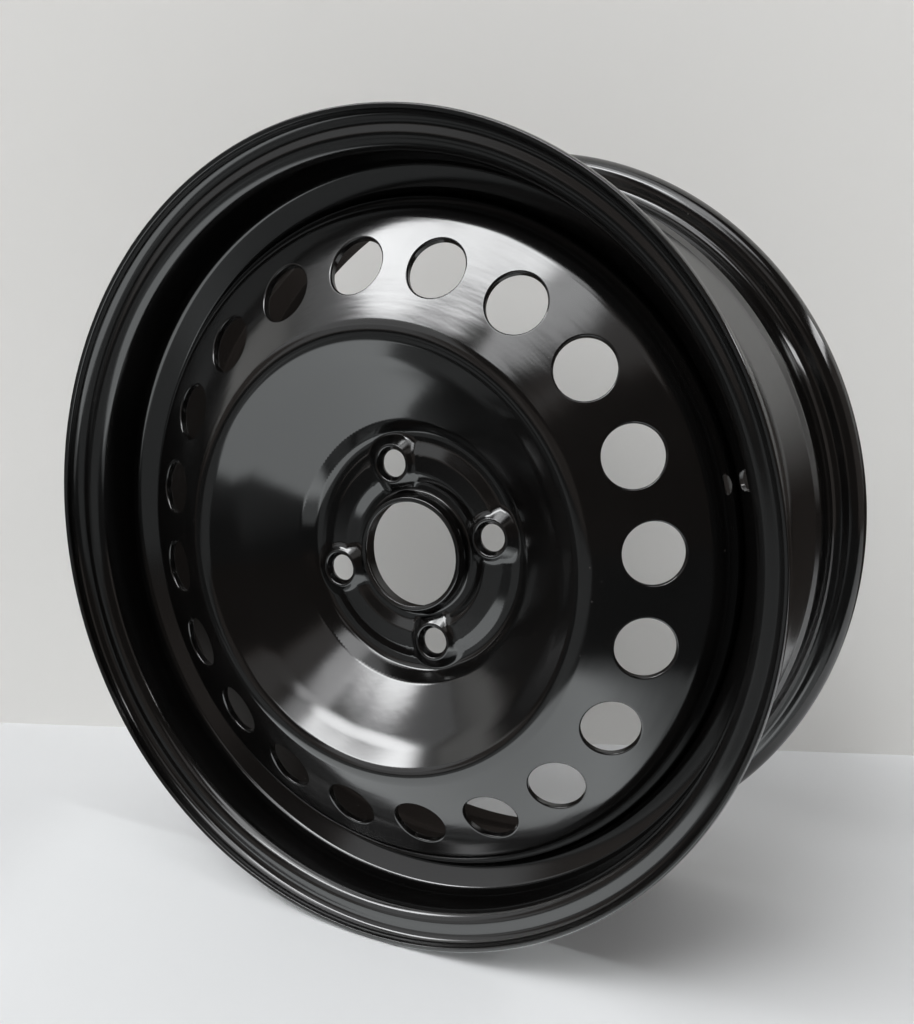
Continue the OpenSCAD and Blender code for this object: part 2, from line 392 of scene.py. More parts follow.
def sheet_end(skin, face, back, s_face, s_back, end, roll, steps):
    """Rounded end of the sheet: end is -1 where the sections start, 1 where they end."""
    p0, t0 = face.at(s_face)
    along = t0[0] * end
    across = np.array([t0[0][1], -t0[0][0]])
    rows_p, rows_n = [], []
    p1 = back.at(s_back)[0]
    for p, flip, order in ((p0[0], 1, range(steps + 1)), (p1[0], -1, range(steps, -1, -1))):
        for k in order:
            a = math.radians(90 * k / steps)
            rows_p.append(p - across * (flip * roll * (1 - math.cos(a))) + along * (roll * math.sin(a)))
            rows_n.append(across * (flip * math.cos(a)) + along * math.sin(a))
    v, n = spin(np.array(rows_p), np.array(rows_n), angles())
    skin.grid(v, n, len(rows_p), COLS, wrap=True)


# The rim's sizes as in the CAD, in mm and degrees
RIM_D, RIM_W, OFFSET, RIM_T = 436.6, 165.1, 40.0, 2.8
FRONT_Y, REAR_Y = OFFSET - RIM_W / 2, OFFSET + RIM_W / 2
SEAT_R, SEAT_W = RIM_D / 2, 21.5
WELL_R, WELL_W = SEAT_R - 17.3, 33
WELL_IN = WELL_R - RIM_T
SEAT_DROP = tand(5)
HUMP_AT, HUMP_H = 28.0, 1.6
HUMP_TOP = SEAT_R - HUMP_AT * SEAT_DROP + HUMP_H
WALL_AT, WALL_TILT = 33.9, 60
WALL_R = SEAT_R - WALL_AT * SEAT_DROP
FLOOR_AT = WALL_AT + (WALL_R - WELL_R) / tand(WALL_TILT)
REAR_FLOOR = RIM_W - FLOOR_AT - WELL_W
LEDGE_AT, LEDGE_TILT, REAR_WALL_TILT = 34, 8, 24
LEDGE_R = SEAT_R - LEDGE_AT * SEAT_DROP
LEDGE_FALL = LEDGE_R + LEDGE_AT * tand(LEDGE_TILT) - WELL_R - REAR_FLOOR * tand(REAR_WALL_TILT)
REAR_WALL_AT = LEDGE_FALL / (tand(LEDGE_TILT) - tand(REAR_WALL_TILT))
REAR_WALL_R = LEDGE_R - (REAR_WALL_AT - LEDGE_AT) * tand(LEDGE_TILT)
FLANGE_H, CURL_R, LIP_TILT, LIP_W = 17.5, 9.5, 17, 0.8
LIP_R = SEAT_R + FLANGE_H - CURL_R + CURL_R * (cosd(LIP_TILT) + tand(LIP_TILT) * (1 + sind(LIP_TILT)))
LIP_L = CURL_R * (1 + sind(LIP_TILT)) + LIP_W * cosd(LIP_TILT)
TOE_R, HUMP_R, WALL_BEND, WELL_BEND = 6.5, 6, 5.5, 16.5
VALVE_AT, VALVE_R = 206.2, 5.65

rim_path = [
    (LIP_R - LIP_L * tand(LIP_TILT), FRONT_Y - LIP_L, 0),
    (LIP_R, FRONT_Y, CURL_R),
    (SEAT_R, FRONT_Y, TOE_R),
    (SEAT_R - SEAT_W * SEAT_DROP, FRONT_Y + SEAT_W, HUMP_R),
    (HUMP_TOP, FRONT_Y + HUMP_AT, HUMP_R),
    (WALL_R, FRONT_Y + WALL_AT, WALL_BEND + RIM_T),
    (WELL_R, FRONT_Y + FLOOR_AT, WALL_BEND),
    (WELL_R, REAR_Y - REAR_FLOOR, WELL_BEND),
    (REAR_WALL_R, REAR_Y - REAR_WALL_AT, WELL_BEND),
    (LEDGE_R, REAR_Y - LEDGE_AT, HUMP_R),
    (HUMP_TOP, REAR_Y - HUMP_AT, HUMP_R),
    (SEAT_R - SEAT_W * SEAT_DROP, REAR_Y - SEAT_W, HUMP_R),
    (SEAT_R, REAR_Y, TOE_R),
    (LIP_R, REAR_Y, CURL_R),
    (LIP_R - LIP_L * tand(LIP_TILT), REAR_Y + LIP_L, 0),
]
WALL_TOP, WALL_FLOOR = 5, 6          # the front wall's two corners in rim_path

# The disc's sizes, in mm and degrees
DISC_T, CREST_AT, CREST_H, CREST_R = 4.0, 127.4, 49.3, 13.0
CROWN_A, SHOULDER_R, FLANGE_W = 26.5, 24.0, 26.0
FOLD_H = CREST_H - (WELL_IN - CREST_AT - CREST_R * tand(CROWN_A / 2)) * tand(CROWN_A)
# The pressed sheet differs a little from its plain section: the dish curves like a shallow bowl down to a
# short steeper wall round the pad
DISH_CREST_R, DISH_TOP, DISH_LOW, BELLY_R = 9.5, 42.0, 36.6, 110.0
WALL_SLOPE, WALL_TOP_AT, WALL_TOP_R, DISH_FOOT_R = 52.0, 78.5, 3.0, 6.0
BELLY_AT = 110.0
DISH_CORNER = CREST_AT - DISH_CREST_R * tand(DISH_TOP / 2)
BELLY_H = CREST_H - (DISH_CORNER - BELLY_AT) * tand(DISH_TOP)
WALL_TOP_H = BELLY_H - (BELLY_AT - WALL_TOP_AT) * tand(DISH_LOW)
DISH_FOOT = WALL_TOP_AT - (WALL_TOP_H - DISC_T) / tand(WALL_SLOPE)
CROWN_CORNER = CREST_AT + CREST_R * tand(CROWN_A / 2)
FLANGE_END = FOLD_H - SHOULDER_R * tand((90 - CROWN_A) / 2) - FLANGE_W
BORE_R, BORE_LIP = 32.55, 3.4

disc_path = [
    (BORE_R + BORE_LIP, -DISC_T, 0),
    (41.8, -DISC_T, 3),
    (47.6, -7, 3),
    (58.6, -7, 3),
    (65.0, -DISC_T, 3),
    (DISH_FOOT, -DISC_T, DISH_FOOT_R),
    (WALL_TOP_AT, -WALL_TOP_H, WALL_TOP_R),
    (BELLY_AT, -BELLY_H, BELLY_R),
    (DISH_CORNER, -CREST_H, DISH_CREST_R),
    (CROWN_CORNER, -CREST_H, CREST_R),
    (WELL_IN, -FOLD_H, SHOULDER_R),
    (WELL_IN, -FLANGE_END, 0),
]


def build_rim():
    skin = Skin()
    tyre = Section(rim_path)
    air = Section(shifted(rim_path, RIM_T))
    roll = 0.9
    half = 3                             # columns each side of the window round the valve hole
    turn = math.radians(COL0)
    out = np.array([cosd(WALL_TILT), sind(WALL_TILT)])
    wall_y = FRONT_Y + WALL_AT + (WALL_R - VALVE_AT) / tand(WALL_TILT) - RIM_T / sind(WALL_TILT) / 2
    axis = np.array([out[0] * math.cos(turn), out[1], out[0] * math.sin(turn)])
    th_side = turn + 2 * math.pi / COLS * np.arange(-half, half + 1)
    holes = []
    for sec, side, edge_roll in ((tyre, -1, 0.35), (air, 1, 0.5)):
        wall_from = sec.corner[WALL_TOP][0] - 2.0
        wall_to = sec.corner[WALL_FLOOR][1] + 3.0
        s = np.concatenate([
            sec.samples(roll, wall_from, longest=12),
            sec.samples(wall_from, wall_to, longest=12)[1:],
            sec.samples(wall_to, sec.length - roll, longest=12)[1:],
        ])
        first = int(np.argmin(abs(s - wall_from)))
        last = int(np.argmin(abs(s - wall_to)))
        lathe(skin, sec, side, s,
              skip=lambda i, j, a=first, b=last: a <= i < b and (j < half or j >= COLS - half))
        face = np.array([VALVE_AT, wall_y]) - out * (RIM_T / 2 * side)
        rows = s[first:last + 1]
        centre = (sec.nearest(face, wall_from, wall_to, 4001), turn)
        r0 = float(sec.at(centre[0])[0][0][0])
        fill = (np.arange(rows[0] + 0.7, rows[-1] - 0.4, 0.9),
                np.arange(th_side[0] * r0 + 1.5, th_side[-1] * r0 - 1.0, 1.5) / r0)
        rings = (VALVE_R + edge_roll, 6.6, 7.6, 8.8)
        holes.append(window(skin, sec, side, rows, th_side, centre, axis * -side, rings, 48, fill, 9.8))
    hole_wall(skin, axis, holes[0], holes[0].ring, in_order(holes[1].ring, holes[0]), 0.35, 0.5)
    sheet_end(skin, tyre, air, roll, roll, -1, roll, 5)
    sheet_end(skin, tyre, air, tyre.length - roll, air.length - roll, 1, roll, 5)
    return skin.make("rim_surface")


# The disc's pad and vents, in mm and degrees
LUG_R, LUG_A0, LUGS = 54.0, 16.3, 4
VENT_AT, VENT_A0, VENTS, VENT_R = 161.4, 8.3, 20, 16.5
VENT_BAND = 140.6, 182.6             # radii between which each vent has its window
PAD_IN, PAD_OUT = 39.0, 82.0
SEAT_FLANK = 38.0
CONE_TOP, BOLT_R, HOLLOW_H = 10.42, 8.0, 4.2
CREST_RING, BACK_RING = 11.7, 9.4    # where the pad's front and back meet the seats' cones
seat_path = [
    (24.0, DISC_T - (24.0 - 18.2) * tand(SEAT_FLANK), 0),
    (CONE_TOP, 10.08, 1.4),
    (BOLT_R, 5.9, 0.6),
    (BOLT_R, 5.0, 0),
]
SEAT_SEC = Section(seat_path)


def smooth_max(a, b, k):
    h = np.maximum(k - np.abs(a - b), 0.0) / k
    return np.maximum(a, b) + h * h * k * 0.25


def seat_height(rho):
    """Height of a bolt seat's flank and crest over the mounting face, outside its cone."""
    crest = SEAT_SEC.stretches[1]
    s0 = crest.start + crest.radius * math.radians(SEAT_FLANK)
    lo = np.zeros(len(rho))
    hi = np.full(len(rho), s0)
    for _ in range(HALVINGS):
        mid = (lo + hi) / 2
        far = SEAT_SEC.at(mid)[0][:, 0] > rho
        lo = np.where(far, mid, lo)
        hi = np.where(far, hi, mid)
    return SEAT_SEC.at((lo + hi) / 2)[0][:, 1]


def outside_seat(rho):
    return seat_height(np.maximum(rho, CONE_TOP))


def inside_seat(rho):
    return np.minimum(HOLLOW_H, (15.5 - rho) * (HOLLOW_H / 5.2))


def sheet_height(sec, lugs, reach, rise, blend, x, z):
    """Height of a face of the pad over the mounting face, with the lug seats raised."""
    out = -sec.at(sec.at_radius(np.hypot(x, z)))[0][:, 1]
    for c in lugs:
        rho = np.hypot(x - c[0], z - c[1])
        near = rho < reach
        if near.any():
            out[near] = smooth_max(out[near], rise(rho[near]), blend)
    return out


def build_pad(skin, front, rear):
    """The pad's front and back with the four bolt seats."""
    turns = [math.radians(LUG_A0 + 360 / LUGS * i) for i in range(LUGS)]
    lugs = np.array([[LUG_R * math.cos(a), LUG_R * math.sin(a)] for a in turns])
    seat_m = 72
    phi = np.linspace(0, 2 * math.pi, seat_m, endpoint=False)
    front_rings = (CREST_RING, 12.2, 12.8, 13.4, 14.0, 14.6, 15.2, 15.8, 16.4, 17.0, 17.6, 18.2, 18.8, 19.5,
                   20.3)
    back_rings = (BACK_RING, 9.8, 10.2, 10.6, 11.2, 12.2, 13.2, 14.2, 15.0, 15.6, 16.2)
    for sec, sign, rings, step, around, seats in (
            (front, 1, front_rings, 0.62, 200, (23, outside_seat, 1.5)),
            (rear, -1, back_rings, 1.0, 144, (20, inside_seat, 0.8))):
        pts, loops = [], []
        for rr in (PAD_OUT, PAD_IN):
            loops.append(list(range(len(pts), len(pts) + COLS)))
            pts += [(rr * math.cos(t), rr * math.sin(t)) for t in angles()]
        for c in lugs:
            loops.append(list(range(len(pts), len(pts) + seat_m)))
            pts += [(c[0] + rings[0] * math.cos(t), c[1] + rings[0] * math.sin(t)) for t in phi]
            for rho in rings[1:]:
                ring = [(c[0] + rho * math.cos(t), c[1] + rho * math.sin(t)) for t in phi]
                pts += [p for p in ring if PAD_IN + 0.25 < math.hypot(*p) < PAD_OUT - 0.3]
        for rr in np.arange(PAD_IN + step, PAD_OUT - step * 0.6, step):
            shift = (rr * 7.13 % 1) * 2 * math.pi / around          # staggers the rings of points
            for t in np.linspace(0, 2 * math.pi, around, endpoint=False) + shift:
                x, z = rr * math.cos(t), rr * math.sin(t)
                if np.hypot(lugs[:, 0] - x, lugs[:, 1] - z).min() > rings[-1] + 0.5:
                    pts.append((x, z))
        faces = triangulate(pts, loops)
        x, z = np.array(pts).T
        e = 0.02

        def height(dx, dz):
            return sheet_height(sec, lugs, *seats, x + dx, z + dz)

        gx = (height(e, 0) - height(-e, 0)) / (2 * e)
        gz = (height(0, e) - height(0, -e)) / (2 * e)
        v = np.stack([x, -height(0, 0), z], 1)
        n = np.stack([-gx, -np.ones(len(x)), -gz], 1) * sign
        skin.add(v, n, faces)

    # the seats' crests, cones and throats
    grid_s = np.linspace(0, SEAT_SEC.length, 6001)
    p_all = SEAT_SEC.at(grid_s)[0]
    too_low = (p_all[:, 1] < 8) * 99            # keeps the search on the crest
    s_from = float(grid_s[np.argmin(abs(p_all[:, 0] - CREST_RING) + too_low)])
    p, t = SEAT_SEC.at(SEAT_SEC.samples(s_from, SEAT_SEC.length, step=9, longest=2.0))
    nrm = np.stack([t[:, 1], -t[:, 0]], 1)
    if nrm[0] @ np.array([0.0, 1.0]) < 0:
        nrm = -nrm
    throat = [(BOLT_R, 4.6), (BOLT_R, 4.35), (8.06, 4.24), (8.2, HOLLOW_H), (BACK_RING, HOLLOW_H)]
    throat_n = [(-1, 0), (-1, 0), (-0.7, -0.7), (0, -1), (0, -1)]
    prof = np.vstack([p, np.array(throat)])
    prof_n = np.vstack([nrm, np.array(throat_n, float)])
    c, q = np.cos(phi), np.sin(phi)
    flat = np.ones(seat_m)
    for x0, z0 in lugs:
        rows_v = [np.stack([x0 + r * c, -h * flat, z0 + r * q], 1) for r, h in prof]
        rows_n = [np.stack([r * c, -h * flat, r * q], 1) for r, h in prof_n]
        skin.grid(np.vstack(rows_v), np.vstack(rows_n), len(prof), seat_m, wrap=True)


def build_disc():
    skin = Skin()
    front = Section(disc_path)
    rear = Section(shifted(disc_path, DISC_T))
    build_pad(skin, front, rear)

    # turned lip of the centre bore, from the pad's front round to its back
    bore = Section([
        (PAD_IN, -DISC_T, 0),
        (BORE_R + BORE_LIP, -DISC_T, 2.2),
        (BORE_R + BORE_LIP, -9.0, 3.0),
        (33.6, -12.25, 1.3),
        (31.2, -11.6, 0.8),
        (31.0, -10.3, 1.0),
        (BORE_R, -7.4, 3.0),
        (BORE_R, 0, 0.5),
        (PAD_IN, 0, 0),
    ])
    lathe(skin, bore, 1, bore.samples(step=12, longest=9))

    # dish, crown and shoulder
    end_roll = 0.5
    for sec, side, fine, coarse in ((front, -1, 5.5, 6), (rear, 1, 8, 9)):
        s_pad, s_a, s_b = sec.at_radius([PAD_OUT, *VENT_BAND])
        lathe(skin, sec, side, sec.samples(s_pad, s_a, step=fine, longest=20))
        lathe(skin, sec, side, sec.samples(s_b, sec.length - end_roll, step=coarse, longest=30))
    sheet_end(skin, front, rear, front.length - end_roll, rear.length - end_roll, 1, end_roll, 3)

    # vents, square to the crown; each face has its section, side, sign, rolled edge, ring gap and step
    vent_p, vent_t = front.at(front.at_radius(VENT_AT))
    cn, sn = vent_t[0]
    square = np.array([sn, -cn])
    vent_mid = vent_p[0] - square * (DISC_T / 2)
    faces = ((front, -1, 1, 1.1, 1.6, 5.0), (rear, 1, -1, 0.35, 1.4, 7.0))
    half = math.pi / VENTS
    for i in range(VENTS):
        turn = math.radians(VENT_A0 + 360 / VENTS * i)
        out = np.array([sn * math.cos(turn), -cn, sn * math.sin(turn)])
        th_side = np.linspace(turn - half, turn + half, COLS // VENTS + 1)
        ends = []
        for sec, side, sign, roll, next_ring, step in faces:
            s_a, s_b = sec.at_radius(VENT_BAND)
            cs = sec.nearest(vent_mid + sign * square * (DISC_T / 2), s_a, s_b, 3001)
            r0 = float(sec.at(cs)[0][0][0])
            fill = (np.linspace(s_a, s_b, max(2, round((s_b - s_a) / step)) + 1)[1:-1],
                    np.linspace(th_side[0], th_side[-1], max(2, round(2 * half * r0 / step)) + 1)[1:-1])
            rings = (VENT_R + roll, VENT_R + roll + next_ring)
            s_side = np.linspace(s_a, s_b, 10)
            clear = rings[-1] + 0.7 * step
            end = window(skin, sec, side, s_side, th_side, (cs, turn), out * sign, rings, 56, fill, clear)
            ends.append(end)
        near, far = [in_order(end.ring, ends[0]) for end in ends]
        hole_wall(skin, out, ends[0], near, far, faces[0][3], faces[1][3])
    return skin.make("disc_surface")


BEADS, BEAD_ARC, BEAD_LEG = 6, 34, 4.0          # number, degrees round the wheel, mm


def build_welds():
    """Fillet beads with faint ripples between the flange's end and the well."""
    skin = Skin()
    foot = -FLANGE_END
    rows, base = 150, 9
    for i in range(BEADS):
        mid = 30 + 360 / BEADS * i
        th = np.radians(np.linspace(mid - BEAD_ARC / 2, mid + BEAD_ARC / 2, rows))
        vs, ns = [], []
        for k, t in enumerate(th):
            along = (k / (rows - 1) - 0.5) * BEAD_ARC
            end = min(1.0, (BEAD_ARC / 2 - abs(along)) / 1.2)
            end = math.sqrt(max(0.0, 1 - (1 - end) ** 2))
            ripple = 1 + 0.07 * math.sin(along * 2 * math.pi / 0.75) + 0.04 * math.sin(along * 3.1 + i)
            size = BEAD_LEG * (0.25 + 0.75 * end) * ripple * 0.93
            for a in np.linspace(0, math.pi / 2, base):
                reach = size * (1 + 0.10 * math.sin(2 * a)) * 0.98
                r = WELL_IN - reach * math.cos(a)
                vs.append((r * math.cos(t), foot + reach * math.sin(a), r * math.sin(t)))
                ns.append((-math.cos(a) * math.cos(t), math.sin(a), -math.cos(a) * math.sin(t)))
        vs = np.array(vs)
        skin.grid(vs, np.array(ns), rows, base)
        # flat backs against the flange's end and the well, and flat ends
        corner = np.stack([WELL_IN * np.cos(th), np.full(rows, foot), WELL_IN * np.sin(th)], 1)
        outward = np.stack([np.cos(th), np.zeros(rows), np.sin(th)], 1)
        skin.grid(np.vstack([corner, vs[0::base]]), np.tile([0.0, -1.0, 0.0], (2 * rows, 1)), 2, rows)
        skin.grid(np.vstack([corner, vs[base - 1::base]]), np.vstack([outward, outward]), 2, rows)
        for k, sign in ((0, -1), (rows - 1, 1)):
            fan = np.vstack([corner[k:k + 1], vs[k * base:(k + 1) * base]])
            onward = np.array([-math.sin(th[k]), 0.0, math.cos(th[k])]) * sign
            skin.add(fan, np.tile(onward, (len(fan), 1)), [(0, m, m + 1) for m in range(1, base)])
    return skin.make("weld_bead_surface")


rim = build_rim()
disc = build_disc()
welds = build_welds()


# Materials
class Tree:
    """Short calls that build one shader tree. A value is a number or a socket."""

    def __init__(self, tree):
        self.nodes, self.links = tree.nodes, tree.links
        tree.nodes.clear()

    def new(self, kind, **values):
        node = self.nodes.new(kind)
        for key, value in values.items():
            setattr(node, key, value)
        return node

    def put(self, socket, value):
        if isinstance(value, bpy.types.NodeSocket):
            self.links.new(value, socket)
        else:
            socket.default_value = value

    def math(self, operation, *values):
        node = self.new("ShaderNodeMath", operation=operation)
        for socket, value in zip(node.inputs, values):
            self.put(socket, value)
        return node.outputs[0]

    def total(self, values):
        out = values[0]
        for value in values[1:]:
            out = self.math("ADD", out, value)
        return out

    def ramp(self, value, a, b, lo=0.0, hi=1.0):
        """Smooth step of value from lo at a to hi at b."""
        node = self.new("ShaderNodeMapRange", interpolation_type="SMOOTHSTEP")
        for name, number in (("From Min", a), ("From Max", b), ("To Min", lo), ("To Max", hi)):
            node.inputs[name].default_value = number
        self.put(node.inputs["Value"], value)
        return node.outputs["Result"]

    def patch(self, x, x0, x1, soft_x, y, y0, y1, soft_y, level):
        """level inside the rectangle x0..x1, y0..y1, and a soft fall to 0 outside it."""
        along = self.math("MULTIPLY", self.ramp(x, x0 - soft_x, x0), self.ramp(x, x1, x1 + soft_x, 1, 0))
        across = self.math("MULTIPLY", self.ramp(y, y0 - soft_y, y0), self.ramp(y, y1, y1 + soft_y, 1, 0))
        return self.math("MULTIPLY", self.math("MULTIPLY", along, across), level)

    def place(self):
        """The point in the object's own coordinates, in metres."""
        return self.new("ShaderNodeTexCoord").outputs["Object"]

    def xyz(self, socket):
        node = self.new("ShaderNodeSeparateXYZ")
        self.links.new(socket, node.inputs[0])
        return node.outputs

    def noise(self, vector, scale, detail, rough=0.5):
        node = self.new("ShaderNodeTexNoise")
        for name, number in (("Scale", scale), ("Detail", detail), ("Roughness", rough)):
            node.inputs[name].default_value = number
        self.links.new(vector, node.inputs["Vector"])
        return node.outputs["Fac"]

    def mix(self, factor, a, b):
        """Colour between a and b."""
        node = self.new("ShaderNodeMix", data_type="RGBA")
        self.put(node.inputs[0], factor)
        self.put(node.inputs[6], a)
        self.put(node.inputs[7], b)
        return node.outputs[2]

    def bump(self, height, distance, under=None):
        node = self.new("ShaderNodeBump")
        node.inputs["Strength"].default_value = 1.0
        node.inputs["Distance"].default_value = distance
        self.links.new(height, node.inputs["Height"])
        if under:
            self.links.new(under, node.inputs["Normal"])
        return node.outputs[0]


def material(name):
    mat = bpy.data.materials.new(name)
    mat.use_nodes = True
    return mat, Tree(mat.node_tree)


def shade(colour, factor):
    return (*[c * factor for c in colour], 1)


def paint(name, base, rough, peel, flow, dust, scallop=0.0):
    """Dipped black paint: gloss, faint orange peel, flow lines of the pressed sheet and a little dust."""
    mat, t = material(name)
    shader = t.new("ShaderNodeBsdfPrincipled")
    shader.inputs["IOR"].default_value = 1.8
    t.links.new(shader.outputs[0], t.new("ShaderNodeOutputMaterial").inputs[0])
    place = t.place()
    x, y, z = t.xyz(place)
    radius = t.math("SQRT", t.math("MULTIPLY_ADD", x, x, t.math("MULTIPLY", z, z)))
    angle = t.math("ARCTAN2", z, x)

    # Dust: small pale specks, denser in faint clouds
    cells = t.new("ShaderNodeTexVoronoi")
    cells.inputs["Scale"].default_value = 240
    t.links.new(place, cells.inputs["Vector"])
    speck = t.math("MULTIPLY", t.ramp(cells.outputs["Distance"], 0.05, 0.13, 1, 0),
                   t.ramp(t.noise(place, 150, 1), 0.60, 0.66))
    specks = t.math("MULTIPLY", speck, t.ramp(t.noise(place, 9, 3), 0.45, 0.75))
    tone = t.mix(t.ramp(t.noise(place, 22, 4), 0.3, 0.7), shade(base, 0.8), shade(base, 1.2))
    dusty = t.math("MULTIPLY", specks, dust)
    t.put(shader.inputs["Base Color"], t.mix(dusty, tone, (0.30, 0.28, 0.26, 1)))

    # Gloss, duller in patches and on the specks
    cloudy = t.ramp(t.noise(place, 14, 5, 0.6), 0.3, 0.72, rough * 0.85, rough * 1.25)
    t.put(shader.inputs["Roughness"], t.math("MULTIPLY_ADD", specks, 0.25, cloudy))

    # Flow lines run round the wheel, and the sheet dips a little between the vents
    polar = t.new("ShaderNodeCombineXYZ")
    t.put(polar.inputs[0], t.math("MULTIPLY_ADD", radius, 75.0, t.math("MULTIPLY", y, 45.0)))
    t.put(polar.inputs[1], t.math("MULTIPLY", t.math("COSINE", angle), 2.2))
    t.put(polar.inputs[2], t.math("MULTIPLY", t.math("SINE", angle), 2.2))
    normal = t.bump(t.noise(polar.outputs[0], 1.0, 3), flow)
    if scallop:
        turn = t.math("COSINE", t.math("MULTIPLY_ADD", angle, VENTS, -VENTS * math.radians(VENT_A0)))
        ring = t.math("MULTIPLY", t.ramp(radius, 0.131, 0.152), t.ramp(radius, 0.172, 0.190, 1, 0))
        normal = t.bump(t.math("MULTIPLY", turn, ring), scallop, normal)
    normal = t.bump(t.noise(place, 620, 2), peel, normal)
    t.put(shader.inputs["Normal"], normal)
    return mat


BLACK = (0.0030, 0.0028, 0.0027)
rim_paint = paint("rim_paint", BLACK, 0.13, 0.000004, 0.00006, 0.25)
disc_paint = paint("disc_paint", BLACK, 0.12, 0.000004, 0.00008, 0.30, scallop=0.00010)
weld_paint = paint("weld_paint", BLACK, 0.20, 0.00002, 0.0001, 0.2)

dressed = ((rim, rim_paint, "rim"), (disc, disc_paint, "disc"), (welds, weld_paint, "weld_beads"))
for ob, mat, node in dressed:
    ob.data.materials.append(mat)
    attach(ob, "root")
    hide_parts(node)
    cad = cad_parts[node]
    cad.data.materials.clear()
    cad.data.materials.append(mat)

# Stage: floor, backdrop and what only reflections see
FLOOR_Z = -0.2358
WALL_FOOT = Vector((-0.106, 0.303, FLOOR_Z))
WALL_ALONG = Vector((0.889, 0.457, 0.0)).normalized()
TO_CAMERA = Vector((WALL_ALONG.y, -WALL_ALONG.x, 0.0))
WARM = (1.0, 0.86, 0.78)
WHITE = (0.98, 0.99, 1.0)


def quad(name, corners, mat):
    me = bpy.data.meshes.new(name)
    me.from_pydata([tuple(c) for c in corners], [], [(0, 1, 2, 3)])
    ob = bpy.data.objects.new(name, me)
    bpy.context.scene.collection.objects.link(ob)
    ob.data.materials.append(mat)
    return ob


def only_in_reflections(ob):
    for flag in ("camera", "diffuse", "shadow", "transmission", "volume_scatter"):
        setattr(ob, "visible_" + flag, False)


def pale(name, colour, spread, seen):
    """Matt pale surface, slightly uneven, brighter to the camera by seen, and clear from behind."""
    mat, t = material(name)
    matt = t.new("ShaderNodeBsdfPrincipled")
    glow = t.new("ShaderNodeEmission")
    both = t.new("ShaderNodeAddShader")
    clear = t.new("ShaderNodeBsdfTransparent")
    pick = t.new("ShaderNodeMixShader")
    out = t.new("ShaderNodeOutputMaterial")
    uneven = t.noise(t.place(), 2.2, 4)
    t.put(matt.inputs["Base Color"], t.mix(uneven, shade(colour, 1 - spread), shade(colour, 1 + spread)))
    matt.inputs["Roughness"].default_value = 0.6
    matt.inputs["Specular IOR Level"].default_value = 0.2
    glow.inputs["Color"].default_value = (*colour, 1)
    by_camera = t.new("ShaderNodeLightPath").outputs["Is Camera Ray"]
    t.put(glow.inputs["Strength"], t.math("MULTIPLY", by_camera, seen))
    t.links.new(matt.outputs[0], both.inputs[0])
    t.links.new(glow.outputs[0], both.inputs[1])
    t.links.new(t.new("ShaderNodeNewGeometry").outputs["Backfacing"], pick.inputs[0])
    t.links.new(both.outputs[0], pick.inputs[1])
    t.links.new(clear.outputs[0], pick.inputs[2])
    t.links.new(pick.outputs[0], out.inputs[0])
    return mat


def wall_point(along, height, forward=0.0):
    return WALL_FOOT + WALL_ALONG * along + Vector((0, 0, height)) + TO_CAMERA * forward


quad("floor", [(-5, -5, FLOOR_Z), (5, -5, FLOOR_Z), (5, 5, FLOOR_Z), (-5, 5, FLOOR_Z)],
     pale("floor_pale", (0.76, 0.77, 0.78), 0.03, 0.0))
quad("backdrop", [wall_point(-4, 0), wall_point(4, 0), wall_point(4, 3), wall_point(-4, 3)],
     pale("backdrop_pale", (0.80, 0.795, 0.775), 0.02, 0.04))

# Painted reflection of the floor in front: a card that glows only in reflections, one bright sheet by the
# wheel, dimmer patches to the sides, a dim room beyond
mat, t = material("painted_floor_reflection")
x, y = t.xyz(t.place())[:2]
along = t.math("MULTIPLY_ADD", x, WALL_ALONG.x, t.math("MULTIPLY", y, WALL_ALONG.y))
near = t.math("MULTIPLY_ADD", x, TO_CAMERA.x, t.math("MULTIPLY", y, TO_CAMERA.y))
sheet = t.patch(along, -0.24, 0.10, 0.08, near, -0.6, 0.36, 0.07, 1.35)
left_room = t.patch(along, -1.15, -0.18, 0.30, near, 0.40, 3.0, 0.10, 0.17)
left_floor = t.patch(along, -0.60, -0.30, 0.12, near, 0.10, 0.40, 0.10, 0.16)
right_floor = t.patch(along, 0.12, 0.34, 0.10, near, -0.6, 0.40, 0.10, 0.44)
glow = t.new("ShaderNodeEmission")
glow.inputs["Color"].default_value = (0.95, 0.99, 1.0, 1)
t.put(glow.inputs["Strength"], t.total([sheet, left_room, left_floor, right_floor, 0.04]))
t.links.new(glow.outputs[0], t.new("ShaderNodeOutputMaterial").inputs[0])
up = FLOOR_Z + 0.001
# painted reflection: the card lights nothing and shows only in the paint's reflections
only_in_reflections(quad("painted_floor_reflection", [(-5, -5, up), (5, -5, up), (5, 0.0, up), (-5, 0.0, up)], mat))

# Painted shade before the foot of the backdrop: a dim warm card, in reflections only, fading out upwards
mat, t = material("painted_shade_flag")
height = t.xyz(t.place())[2]
glow = t.new("ShaderNodeEmission")
glow.inputs["Color"].default_value = (*WARM, 1)
glow.inputs["Strength"].default_value = 0.05
clear = t.new("ShaderNodeBsdfTransparent")
pick = t.new("ShaderNodeMixShader")
t.put(pick.inputs[0], t.ramp(height, 0.06, 0.34))
t.links.new(glow.outputs[0], pick.inputs[1])
t.links.new(clear.outputs[0], pick.inputs[2])
t.links.new(pick.outputs[0], t.new("ShaderNodeOutputMaterial").inputs[0])
corners = [wall_point(across, high, 0.01) for across, high in ((-4, 0), (4, 0), (4, 0.8), (-4, 0.8))]
# painted shade: darkens the backdrop's foot as the paint reflects it
only_in_reflections(quad("painted_shade_flag", corners, mat))

# World: pale for the camera, and for everything else a dim room with soft light panels
world = bpy.data.worlds.new("room")
bpy.context.scene.world = world
world.use_nodes = True
t = Tree(world.node_tree)
x, y, z = t.xyz(t.new("ShaderNodeTexCoord").outputs["Generated"])
